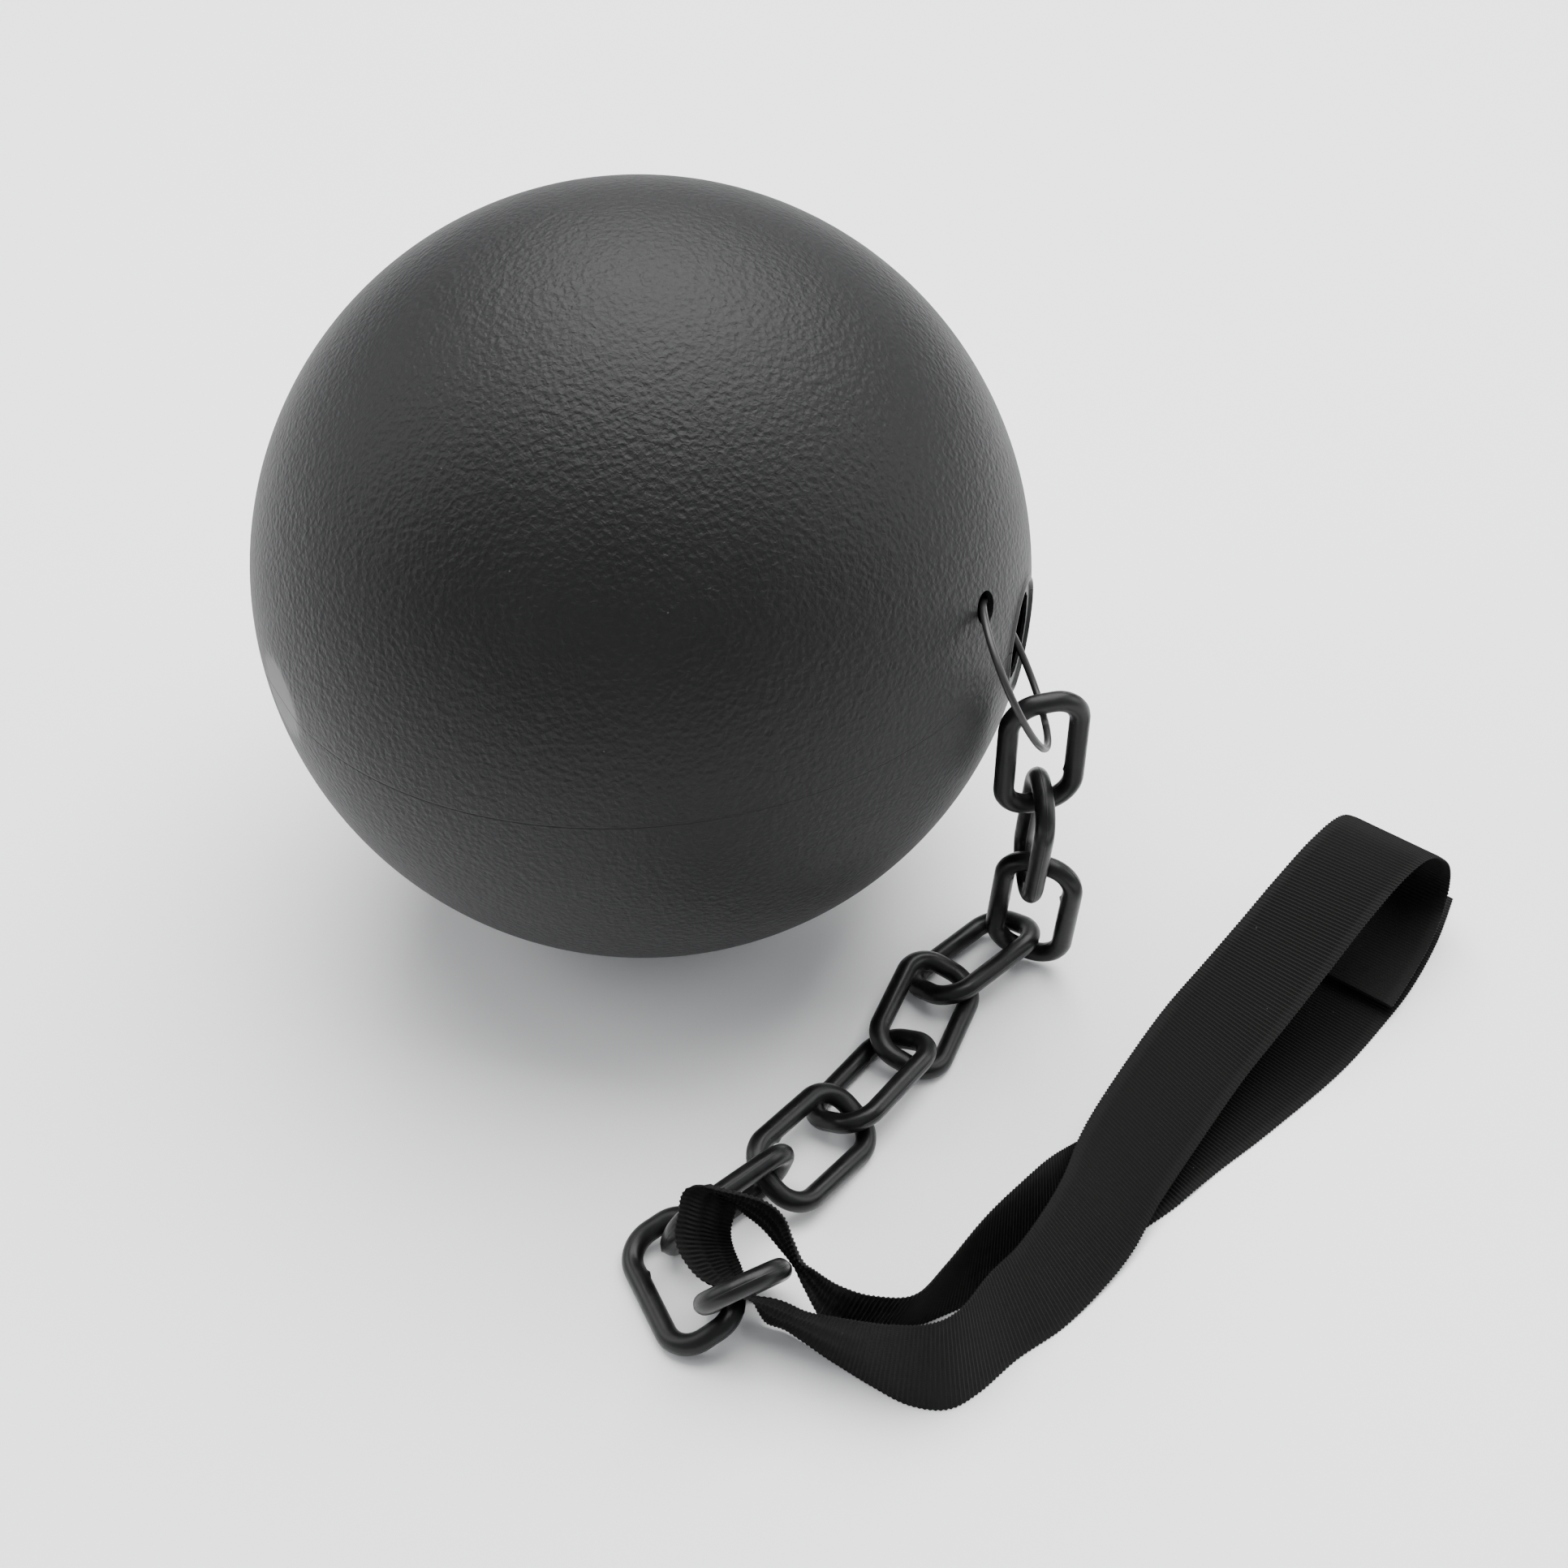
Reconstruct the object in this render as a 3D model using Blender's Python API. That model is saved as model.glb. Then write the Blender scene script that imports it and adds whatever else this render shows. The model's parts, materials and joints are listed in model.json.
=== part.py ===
"""Costume ball and chain: a hollow blow-moulded ball, a split wire ring, ten moulded chain links and a
ribbon ankle strap with a hook-and-loop closure.

Metres, +Z up. The origin is where the ball rests on the floor, under its centre. -Y is the front.
"""
import math

import bmesh
import bpy
from mathutils import Matrix, Vector

MM = 0.001

# Ball
BALL_RADIUS = 75 * MM
BALL_WALL = 1.2 * MM
REST_FLAT_RADIUS = 6 * MM      # the thin shell flattens a little where it stands
NECK_FACE_RADIUS = 11 * MM     # smooth flat round face left by the blow pin
NECK_RADIUS = 7.8 * MM         # the opening cut in that face
NECK_HEADING = -15.3           # degrees round the ball from +X, at the height of its centre
NECK_RISE = 0.4
RING_HOLE_RADIUS = 3.3 * MM   # drilled beside the neck for the wire ring
RING_HOLE_HEADING = -29.4
RING_HOLE_RISE = 15.1

# Split wire ring, through the drilled hole and the neck
WIRE_RADIUS = 0.7 * MM
RING_RADIUS = 14.8 * MM
RING_TURN = 380                # degrees of wire, so that the two ends lie side by side
RING_IN_NECK = (-4.1 * MM, 1.95 * MM)  # where the wire crosses the neck, sideways and up from its centre
RING_SWING = 59                # degrees that the ring has swung down from straight out of the ball
RING_HOOK_ANGLE = 72           # degrees round the ring, from its outermost point, to the first link

# Chain link: a rounded oblong of round stock
LINK_STOCK = 4 * MM
LINK_INNER_LENGTH = 22 * MM
LINK_INNER_WIDTH = 10 * MM
LINK_CORNER_RADIUS = 5.6 * MM  # of the stock's centre line
LINK_SIDES = 8
LINK_CORNER_STEPS = 5
FIRST_LINK_OFF_CENTRE = 1.9 * MM  # from the middle of its bar to where the ring holds it

# Ribbon strap and its closure
STRAP_PLAY = 2 * MM          # what the strap is narrower than the inside of a link
STRAP_THICKNESS = 0.6 * MM
PATCH_LENGTH = 26 * MM
PATCH_MARGIN = 2 * MM          # from a patch's long edge to the strap's edge
PATCH_THICKNESS = 0.7 * MM
SECTIONS_PER_STATION = 3

CLEARANCE = 0.3 * MM           # between pieces that touch

STRAP_WIDTH = LINK_INNER_LENGTH - STRAP_PLAY

# How each link lies: heading, pitch and roll in degrees, then where its near bar sits from the far bar of
# the link before it, in stock diameters. Links 1 to 3 hang beside the ball and the others lie on the floor.
LINK_LAY = [
    (89, -87, -15, (0, 0, 0)),
    (110, -82, 106, (0.18, -0.52, 1.04)),
    (123, -84, 53, (0.64, -0.76, 1.55)),
    (-138, -4, 21, (-0.32, 1.11, 0.69)),
    (-112, -2, -21, (1.01, 1.34, 0)),
    (-127, 0, 25, (0.42, 1.26, 0)),
    (-127, 8, -29, (0.99, 0.76, 0)),
    (-138, 1, 72, (0.49, 1.2, 0)),
    (-66, 1, 23, (-0.87, 1.43, 0)),
    (-92, 54, 26, (1.5, 2.98, 0)),
]
HANGING_LINKS = 3

# How the strap lies, from its loop end round to its hook end: x and y in millimetres from the middle of the
# last link, height of the lower edge over the floor, then heading and rise in degrees of the direction
# across the ribbon, and the share of its width that it keeps where it is gathered.
STRAP_LAY = [
    (139.4, 113.9, 0, 146, 0, 1),
    (133.9, 101.9, 0, 145, 0, 1),
    (126.9, 89.9, 0, 144, 0, 1),
    (119.9, 80.4, 0, 141, 0, 1),
    (108.4, 66.9, 0, 137, 0, 1),
    (92.9, 52.4, 0, 134, 0, 1),
    (82.4, 43.4, 0, 131, 0, 1),
    (74.4, 35.9, 0, 128, 0, 1),
    (67.9, 30.4, 0, 119, 10, 1),
    (61.9, 24.6, 0, 103, 38, 1),
    (53.0, 18.0, 0, 95, 64, 1),
    (42.8, 9.0, 0, 80, 78, 1),
    (33.6, 0.8, 0, -32, 80, 1),
    (27.2, -3.6, 0.5, -45, 71, 0.96),
    (20.2, -4.2, 1, -50, 72, 0.96),
    (15.3, -2.3, 2.6, -62, 70, 0.93),
    (11.5, 2.6, 5.4, -75, 65, 0.72),
    (9.5, 4.8, 8.3, -80, 56, 0.6),
    (7.5, 7.4, 10.8, -68, 58, 0.56),
    (5.2, 10.3, 13.3, -51, 55, 0.55),
    (1.9, 11.7, 16.3, -46, 58, 0.47),
    (-3.6, 12.5, 19.5, -113, 67, 0.35),
    (-5.8, 11.8, 19.6, -168, 38, 0.55),
    (-7.0, 9.3, 15.3, -161, 40, 0.62),
    (-7.0, 6.9, 11.3, -148, 37, 0.71),
    (-4.4, 3.3, 9.3, -136, 32, 0.6),
    (-1.0, 0.8, 8.3, -120, 40, 0.47),
    (4.3, -1.2, 1.8, -62, 66, 0.66),
    (9.2, -3.9, 0.8, -62, 64, 0.8),
    (16.4, -8.2, 0, -58, 76, 0.9),
    (22.9, -12.0, 0, -42, 84, 1),
    (28.9, -14.1, 0, 80, 83, 1),
    (34.6, -13.8, 0, 107, 76, 1),
    (39.4, -10.4, 0, 125, 74, 1),
    (45.1, -3.8, 0, 144, 69, 1),
    (52.0, 2.8, 0, 152, 60, 1),
    (58.2, 10.6, 0.5, 156, 51, 1),
    (63.8, 19.2, 1.4, 154, 43, 1),
    (69.4, 30.4, 3.2, 147, 34, 1),
    (77.9, 43.9, 5.2, 144, 26, 1),
    (87.4, 57.4, 8, 144, 20, 1),
    (96.4, 67.9, 12, 147, 12, 1),
    (104.9, 77.4, 16.2, 149, 7, 1),
    (113.9, 87.4, 20.8, 149, 3, 1),
    (121.9, 95.9, 23.6, 147, 2, 1),
    (128.4, 102.0, 23.6, 144, 2, 1),
    (133.8, 106.4, 18, 143, 1, 1),
    (136.0, 108.4, 10.5, 143, 1, 1),
    (134.8, 105.2, 4.8, 144, 0, 1),
    (130.4, 96.8, 3, 144, 0, 1),
    (124.0, 86.4, 3, 143, 0, 1),
    (120.4, 81.0, 3, 141, 0, 1),
]


def material(name, colour, roughness, metallic=0.0):
    made = bpy.data.materials.new(name)
    made.use_nodes = True
    shader = made.node_tree.nodes["Principled BSDF"]
    shader.inputs["Base Color"].default_value = (*colour, 1)
    shader.inputs["Roughness"].default_value = roughness
    shader.inputs["Metallic"].default_value = metallic
    return made


def add_object(name, bm, its_material):
    bmesh.ops.recalc_face_normals(bm, faces=bm.faces)
    mesh = bpy.data.meshes.new(name)
    bm.to_mesh(mesh)
    bm.free()
    mesh.shade_smooth()
    mesh.set_sharp_from_angle(angle=math.radians(40))
    mesh.materials.append(its_material)
    made = bpy.data.objects.new(name, mesh)
    bpy.context.collection.objects.link(made)
    return made


def add_pivot(name, place, parent=None):
    """An empty on a joint's axis, which the pieces that it moves are parented to."""
    pivot = bpy.data.objects.new(name, None)
    pivot.empty_display_size = 5 * MM
    bpy.context.collection.objects.link(pivot)
    pivot["place"] = place
    pivot.parent = parent
    pivot.location = place - (Vector(parent["place"]) if parent else Vector())
    return pivot


def mount_on(pivot, piece):
    piece.parent = pivot
    piece.location = piece.location - Vector(pivot["place"])


def direction(heading, rise):
    heading = math.radians(heading)
    rise = math.radians(rise)
    level = math.cos(rise)
    return Vector((level * math.cos(heading), level * math.sin(heading), math.sin(rise)))


def sweep(bm, sections, closed):
    """Skins a row of equal loops of points, and caps its ends or joins them."""
    loops = [[bm.verts.new(p) for p in section] for section in sections]
    pairs = list(zip(loops, loops[1:]))
    if closed:
        pairs.append((loops[-1], loops[0]))
    for one, two in pairs:
        count = len(one)
        for i in range(count):
            bm.faces.new((one[i], one[(i + 1) % count], two[(i + 1) % count], two[i]))
    if not closed:
        bm.faces.new(loops[0])
        bm.faces.new(loops[-1])


def cut_with(piece, cutter):
    cutter.hide_render = True
    cutter.display_type = "WIRE"
    boolean = piece.modifiers.new("cut", "BOOLEAN")
    boolean.object = cutter
    boolean.operation = "DIFFERENCE"
    boolean.solver = "EXACT"


# The chain is laid out first, because the ball rolls until its ring is as high as the hanging links need.

LINK_HALF_LENGTH = (LINK_INNER_LENGTH + LINK_STOCK) / 2    # middle of the link to the middle of an end bar
LINK_HALF_WIDTH = (LINK_INNER_WIDTH + LINK_STOCK) / 2


def link_turn(heading, pitch, roll):
    """A link's own X runs from its near bar to its far bar, and its Y across it."""
    turn = Matrix.Rotation(math.radians(heading), 3, "Z") @ Matrix.Rotation(-math.radians(pitch), 3, "Y")
    return turn @ Matrix.Rotation(math.radians(roll), 3, "X")


def link_reach_down(turn):
    """How far a link's surface reaches below its middle."""
    along = abs(turn[2][0])
    across = abs(turn[2][1])
    straight = along * (LINK_HALF_LENGTH - LINK_CORNER_RADIUS) + across * (LINK_HALF_WIDTH - LINK_CORNER_RADIUS)
    return straight + LINK_CORNER_RADIUS * math.hypot(along, across) + LINK_STOCK / 2


def lay_chain():
    """Each link's turn and middle, with the first link's near bar over x = y = 0."""
    turns = [link_turn(*lay[:3]) for lay in LINK_LAY]
    middles = []
    near = Vector()
    for turn, lay in zip(turns, LINK_LAY):
        near = near + LINK_STOCK * Vector(lay[3])
        middles.append(near + turn.col[0] * LINK_HALF_LENGTH)
        near = middles[-1] + turn.col[0] * LINK_HALF_LENGTH
    first_on_floor = HANGING_LINKS
    lift = link_reach_down(turns[first_on_floor]) - middles[first_on_floor].z
    for index, middle in enumerate(middles):
        on_floor = index >= first_on_floor
        middle.z = link_reach_down(turns[index]) if on_floor else middle.z + lift
    return turns, middles


link_turns, link_middles = lay_chain()
hook_height = (link_middles[0] - link_turns[0].col[0] * LINK_HALF_LENGTH).z

# The ring's place on the ball, from the directions of the drilled hole and the neck

ball_middle = Vector((0, 0, math.sqrt(BALL_RADIUS**2 - REST_FLAT_RADIUS**2)))
neck_face_distance = math.sqrt(BALL_RADIUS**2 - NECK_FACE_RADIUS**2)


def place_ring(roll):
    """The ball's neck and hole directions, the ring's three axes and middle, and the first link's bar."""
    neck = roll @ direction(NECK_HEADING, NECK_RISE)
    hole = roll @ direction(RING_HOLE_HEADING, RING_HOLE_RISE)
    sideways = Vector((0, 0, 1)).cross(neck).normalized()
    upwards = neck.cross(sideways)
    in_hole = ball_middle + hole * (BALL_RADIUS - BALL_WALL / 2)
    in_neck = ball_middle + neck * neck_face_distance
    in_neck += sideways * RING_IN_NECK[0] + upwards * RING_IN_NECK[1]
    axis = (in_neck - in_hole).normalized()
    half_chord = (in_neck - in_hole).length / 2
    between = (in_neck + in_hole) / 2
    outward = between - ball_middle
    outward = (outward - axis * outward.dot(axis)).normalized()
    swing = math.radians(RING_SWING)
    hang = outward * math.cos(swing) + axis.cross(outward) * math.sin(swing)
    middle = between + hang * math.sqrt(RING_RADIUS**2 - half_chord**2)
    hook_angle = math.radians(RING_HOOK_ANGLE)
    to_bar = hang * math.cos(hook_angle) + axis * math.sin(hook_angle)
    bar = middle + to_bar * (RING_RADIUS - WIRE_RADIUS - LINK_STOCK / 2 - 2.2 * CLEARANCE)
    return neck, hole, hang, axis, between, middle, bar


level_bar = place_ring(Matrix.Identity(3))[-1] - ball_middle
rise_needed = math.asin((hook_height - ball_middle.z) / level_bar.length)
rise_level = math.asin(level_bar.z / level_bar.length)
roll_axis = Vector((-level_bar.y, level_bar.x, 0)).normalized()
ball_roll = Matrix.Rotation(rise_level - rise_needed, 3, roll_axis)
neck_way, hole_way, ring_hang, ring_axis, ring_pivot, ring_middle, first_bar = place_ring(ball_roll)

first_bar_middle = first_bar - link_turns[0].col[1] * FIRST_LINK_OFF_CENTRE
chain_start = Vector((first_bar_middle.x, first_bar_middle.y, 0))
for link_middle in link_middles:
    link_middle += chain_start


def make_ball(its_material):
    """The shell is turned about the neck's axis, then drilled and flattened where it rests."""
    steps = 56
    outer_steps = 26
    inner_steps = 14
    inner_radius = BALL_RADIUS - BALL_WALL
    start = math.asin(NECK_FACE_RADIUS / BALL_RADIUS)
    inner_start = math.asin(NECK_RADIUS / inner_radius)
    profile = [(NECK_RADIUS, neck_face_distance)]
    for i in range(outer_steps):
        angle = start + (math.pi - start) * i / outer_steps
        profile.append((BALL_RADIUS * math.sin(angle), BALL_RADIUS * math.cos(angle)))
    outer_end = (0, -BALL_RADIUS)
    inner_profile = []
    for i in range(inner_steps):
        angle = inner_start + (math.pi - inner_start) * i / inner_steps
        inner_profile.append((inner_radius * math.sin(angle), inner_radius * math.cos(angle)))
    inner_end = (0, -inner_radius)

    bm = bmesh.new()

    def turned(radius, height, step):
        angle = 2 * math.pi * step / steps
        return Vector((radius * math.cos(angle), radius * math.sin(angle), height))

    columns = []
    for step in range(steps):
        outside = [bm.verts.new(turned(r, h, step)) for r, h in profile]
        inside = [bm.verts.new(turned(r, h, step)) for r, h in inner_profile]
        columns.append((outside, inside))
    outer_pole = bm.verts.new(turned(*outer_end, 0))
    inner_pole = bm.verts.new(turned(*inner_end, 0))
    for step in range(steps):
        outside, inside = columns[step]
        next_outside, next_inside = columns[(step + 1) % steps]
        for skin, next_skin in ((outside, next_outside), (inside, next_inside)):
            for i in range(len(skin) - 1):
                bm.faces.new((skin[i], skin[i + 1], next_skin[i + 1], next_skin[i]))
        bm.faces.new((outside[-1], outer_pole, next_outside[-1]))
        bm.faces.new((inside[-1], inner_pole, next_inside[-1]))
        bm.faces.new((outside[0], next_outside[0], next_inside[0], inside[0]))
    bm.transform(neck_way.to_track_quat("Z", "Y").to_matrix().to_4x4())
    ball = add_object("ball_shell", bm, its_material)
    ball.location = ball_middle

    drill = bmesh.new()
    bmesh.ops.create_cone(
        drill, cap_ends=True, segments=16, radius1=RING_HOLE_RADIUS, radius2=RING_HOLE_RADIUS, depth=12 * MM
    )
    hole_place = Matrix.Translation(ball_middle + hole_way * BALL_RADIUS)
    drill.transform(hole_place @ hole_way.to_track_quat("Z", "Y").to_matrix().to_4x4())
    cut_with(ball, add_object("ring_hole_drill", drill, its_material))

    floor_depth = 4 * MM
    floor = bmesh.new()
    bmesh.ops.create_cube(floor, size=1)
    floor.transform(Matrix.Diagonal((4 * REST_FLAT_RADIUS, 4 * REST_FLAT_RADIUS, floor_depth, 1)))
    floor.transform(Matrix.Translation((0, 0, -floor_depth / 2)))
    cut_with(ball, add_object("rest_flat_cutter", floor, its_material))
    return ball


def make_ring(its_material):
    """One wire, wound a little over one turn, with its ends side by side inside the ball."""
    normal = ring_hang.cross(ring_axis)
    steps = 60
    sides = 8
    side_step = 2 * WIRE_RADIUS + CLEARANCE
    overlap = (RING_TURN - 360) / RING_TURN
    sections = []
    for i in range(steps + 1):
        share = i / steps
        angle = math.radians(180 - RING_TURN / 2 + RING_TURN * share - 180)
        out = ring_hang * math.cos(angle) + ring_axis * math.sin(angle)
        along = ring_axis * math.cos(angle) - ring_hang * math.sin(angle)
        ramp = min(share / (2 * overlap), 1) + max((share - 1) / (2 * overlap) + 1, 0) - 1
        shift = normal * side_step / 2 * ramp
        middle = ring_middle + out * RING_RADIUS + shift
        turns = [2 * math.pi * k / sides for k in range(sides)]
        across = along.cross(out)
        sections.append([middle + WIRE_RADIUS * (out * math.cos(t) + across * math.sin(t)) for t in turns])
    bm = bmesh.new()
    sweep(bm, sections, closed=False)
    return add_object("wire_ring", bm, its_material)


def link_path():
    """Points of the stock's centre line with their outward directions, anticlockwise round a link."""
    points = []
    half_x = LINK_HALF_LENGTH - LINK_CORNER_RADIUS
    half_y = LINK_HALF_WIDTH - LINK_CORNER_RADIUS
    for quarter, (sign_x, sign_y) in enumerate(((1, 1), (-1, 1), (-1, -1), (1, -1))):
        for i in range(LINK_CORNER_STEPS + 1):
            angle = math.pi / 2 * (quarter + i / LINK_CORNER_STEPS)
            out = Vector((math.cos(angle), math.sin(angle), 0))
            points.append((Vector((sign_x * half_x, sign_y * half_y, 0)) + out * LINK_CORNER_RADIUS, out))
    return points


def make_link_mesh(its_material):
    sections = []
    for middle, out in link_path():
        section = []
        for k in range(LINK_SIDES):
            angle = 2 * math.pi * (k + 0.5) / LINK_SIDES
            offset = out * math.cos(angle) + Vector((0, 0, math.sin(angle)))
            section.append(middle + offset * LINK_STOCK / 2)
        sections.append(section)
    bm = bmesh.new()
    sweep(bm, sections, closed=True)
    first = add_object("chain_link_01", bm, its_material)
    return first


def make_chain(its_material, ring_pivot_empty):
    """The links share one mesh. Each hangs from an empty on the far bar of the piece before it."""
    first = make_link_mesh(its_material)
    pivot = ring_pivot_empty
    hinge = first_bar + (ring_middle - first_bar).normalized() * -(WIRE_RADIUS + LINK_STOCK / 2 + CLEARANCE)
    for index, (turn, middle) in enumerate(zip(link_turns, link_middles)):
        name = f"chain_link_{index + 1:02d}"
        link = first if index == 0 else bpy.data.objects.new(name, first.data)
        if index:
            bpy.context.collection.objects.link(link)
        pivot = add_pivot(f"pivot_of_link_{index + 1:02d}", hinge, pivot)
        link.matrix_world = Matrix.Translation(middle) @ turn.to_4x4()
        mount_on(pivot, link)
        hinge = middle + turn.col[0] * LINK_HALF_LENGTH
    return pivot


def smooth(values, share):
    """Catmull-Rom between the middle two of four values."""
    before, start, end, after = values
    return 0.5 * (
        2 * start
        + (end - before) * share
        + (2 * before - 5 * start + 4 * end - after) * share**2
        + (3 * start - 3 * end + after - before) * share**3
    )


def strap_stations():
    """The ribbon's middle, direction across and width, at close stations along its whole length."""
    rough = []
    for x, y, lower_edge, heading, rise, gather in STRAP_LAY:
        rough.append((Vector((x, y, lower_edge)) * MM, direction(heading, rise), STRAP_WIDTH * gather))
    stations = []
    last = len(rough) - 1
    for i in range(last * SECTIONS_PER_STATION + 1):
        start = min(i // SECTIONS_PER_STATION, last - 1)
        share = i / SECTIONS_PER_STATION - start
        four = [rough[max(start - 1, 0)], rough[start], rough[start + 1], rough[min(start + 2, last)]]
        middle, across, width = (smooth([station[n] for station in four], share) for n in range(3))
        across.normalize()
        level = math.hypot(across.x, across.y)
        middle.x += link_middles[-1].x
        middle.y += link_middles[-1].y
        middle.z = max(middle.z, 0) + abs(across.z) * width / 2 + level * STRAP_THICKNESS / 2
        stations.append((middle, across, width))
    return stations


def ribbon(name, stations, thickness, its_material, margin=0.0, lift=0.0):
    """A flat band along the stations, its width less a margin each side, lifted along its own normal."""
    sections = []
    last = len(stations) - 1
    for i, (middle, across, width) in enumerate(stations):
        along = stations[min(i + 1, last)][0] - stations[max(i - 1, 0)][0]
        normal = along.cross(across).normalized()
        side = across * (width / 2 - margin)
        half = normal * thickness / 2
        centre = middle + normal * lift
        sections.append([centre - side - half, centre + side - half, centre + side + half, centre - side + half])
    bm = bmesh.new()
    sweep(bm, sections, closed=False)
    return add_object(name, bm, its_material)


def stretch_of(stations, length, from_end=False):
    """The stations of a patch that starts a sewing margin in from one end of the strap."""
    row = list(reversed(stations)) if from_end else stations
    kept = []
    gone = 0.0
    for one, two in zip(row, row[1:]):
        if gone >= PATCH_MARGIN:
            kept.append(one)
        gone += (two[0] - one[0]).length
        if gone >= PATCH_MARGIN + length:
            break
    return list(reversed(kept)) if from_end else kept


def make_strap(ribbon_material, hook_material, loop_material, pivot):
    stations = strap_stations()
    lift = (STRAP_THICKNESS + PATCH_THICKNESS) / 2 + CLEARANCE
    strap = ribbon("ankle_strap", stations, STRAP_THICKNESS, ribbon_material)
    loop_row = stretch_of(stations, PATCH_LENGTH)
    loop = ribbon("closure_loop_patch", loop_row, PATCH_THICKNESS, loop_material, PATCH_MARGIN, -lift)
    hook_row = stretch_of(stations, PATCH_LENGTH, from_end=True)
    hook = ribbon("closure_hook_patch", hook_row, PATCH_THICKNESS, hook_material, PATCH_MARGIN, lift)
    for piece in (strap, loop, hook):
        mount_on(pivot, piece)


for old in list(bpy.data.objects):
    bpy.data.objects.remove(old)

shell_plastic = material("black_polyethylene", (0.022, 0.022, 0.023), 0.48)
link_plastic = material("black_polypropylene", (0.014, 0.014, 0.015), 0.32)
black_wire = material("black_steel_wire", (0.06, 0.06, 0.06), 0.35, 0.8)
grosgrain = material("black_grosgrain", (0.012, 0.012, 0.013), 0.85)
hook_tape = material("hook_tape", (0.01, 0.01, 0.011), 0.7)
loop_tape = material("loop_tape", (0.013, 0.013, 0.014), 0.95)

make_ball(shell_plastic)
ring_pivot_empty = add_pivot("pivot_of_ring", ring_pivot)
mount_on(ring_pivot_empty, make_ring(black_wire))
last_link_pivot = make_chain(link_plastic, ring_pivot_empty)
strap_pivot = add_pivot("pivot_of_strap", link_middles[-1].copy(), last_link_pivot)
make_strap(grosgrain, hook_tape, loop_tape, strap_pivot)
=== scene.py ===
import json
import math

import bpy
import numpy as np
from mathutils import Matrix, Vector, noise


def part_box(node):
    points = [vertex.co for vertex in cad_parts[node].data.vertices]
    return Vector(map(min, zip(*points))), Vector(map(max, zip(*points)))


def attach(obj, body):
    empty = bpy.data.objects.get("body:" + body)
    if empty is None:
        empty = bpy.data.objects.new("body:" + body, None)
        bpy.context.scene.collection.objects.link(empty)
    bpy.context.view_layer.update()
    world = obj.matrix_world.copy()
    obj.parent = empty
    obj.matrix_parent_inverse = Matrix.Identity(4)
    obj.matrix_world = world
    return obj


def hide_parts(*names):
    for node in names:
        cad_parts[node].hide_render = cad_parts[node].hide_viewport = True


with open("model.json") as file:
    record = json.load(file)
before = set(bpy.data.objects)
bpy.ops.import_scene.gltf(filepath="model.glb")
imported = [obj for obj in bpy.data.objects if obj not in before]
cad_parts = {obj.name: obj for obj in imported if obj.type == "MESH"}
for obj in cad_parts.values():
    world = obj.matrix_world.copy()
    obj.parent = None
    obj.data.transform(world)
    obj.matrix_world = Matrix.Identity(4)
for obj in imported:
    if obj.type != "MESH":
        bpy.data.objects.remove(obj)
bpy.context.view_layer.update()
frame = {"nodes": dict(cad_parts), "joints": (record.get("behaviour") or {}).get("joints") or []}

# The set. A pale table runs far past the ball on every side, under one large soft light overhead and two
# weaker ones, in a light grey room. The camera looks down on the ball from in front of it.
MM = 0.001

eye = bpy.data.objects.new("camera", bpy.data.cameras.new("camera"))
bpy.context.scene.collection.objects.link(eye)
eye.location = (0.0272, -0.3796, 0.3625)
eye.rotation_euler = (math.radians(47.857), 0, 0)
eye.data.lens = 56
eye.data.sensor_width = 36
eye.data.clip_start = 0.01
bpy.context.scene.camera = eye

room = bpy.data.worlds.new("grey_room")
room.use_nodes = True
room.node_tree.nodes["Background"].inputs["Color"].default_value = (0.95, 0.97, 1, 1)
room.node_tree.nodes["Background"].inputs["Strength"].default_value = 0.62
bpy.context.scene.world = room


def soft_light(name, place, aim, side, watts):
    lamp = bpy.data.lights.new(name, "AREA")
    lamp.shape = "SQUARE"
    lamp.size = side
    lamp.energy = watts
    made = bpy.data.objects.new(name, lamp)
    bpy.context.scene.collection.objects.link(made)
    made.location = place
    made.rotation_euler = (Vector(aim) - Vector(place)).to_track_quat("-Z", "Y").to_euler()
    return made


soft_light("overhead_softbox", (0.1, 0.4, 1.2), (0, 0, 0.05), 1.5, 54)
soft_light("left_fill", (-1.3, 0.2, 0.8), (0, 0, 0.05), 0.9, 9)
soft_light("right_fill", (1.4, 0.1, 0.7), (0, 0, 0.05), 0.9, 9)

table = bpy.data.meshes.new("table_top")
table.from_pydata([(-4, -4, 0), (4, -4, 0), (4, 4, 0), (-4, 4, 0)], [], [(0, 1, 2, 3)])
table_top = bpy.data.objects.new("table_top", table)
bpy.context.scene.collection.objects.link(table_top)
white_card = bpy.data.materials.new("white_card")
white_card.use_nodes = True
white_card.node_tree.nodes["Principled BSDF"].inputs["Base Color"].default_value = (0.9, 0.9, 0.905, 1)
white_card.node_tree.nodes["Principled BSDF"].inputs["Roughness"].default_value = 0.6
table.materials.append(white_card)

# The ball. A hollow shell of black polyethylene, blow moulded in two halves, so a parting line runs round
# it through the flat neck face left by the blow pin. The neck is cut open with a knife, a hole for the
# ring is drilled beside it, and the pinched end of the tube leaves a smooth scar well round from the neck.
BALL_RADIUS = 75 * MM
BALL_WALL = 1.2 * MM
BALL_MIDDLE = Vector((0, 0, 74.76 * MM))
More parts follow.
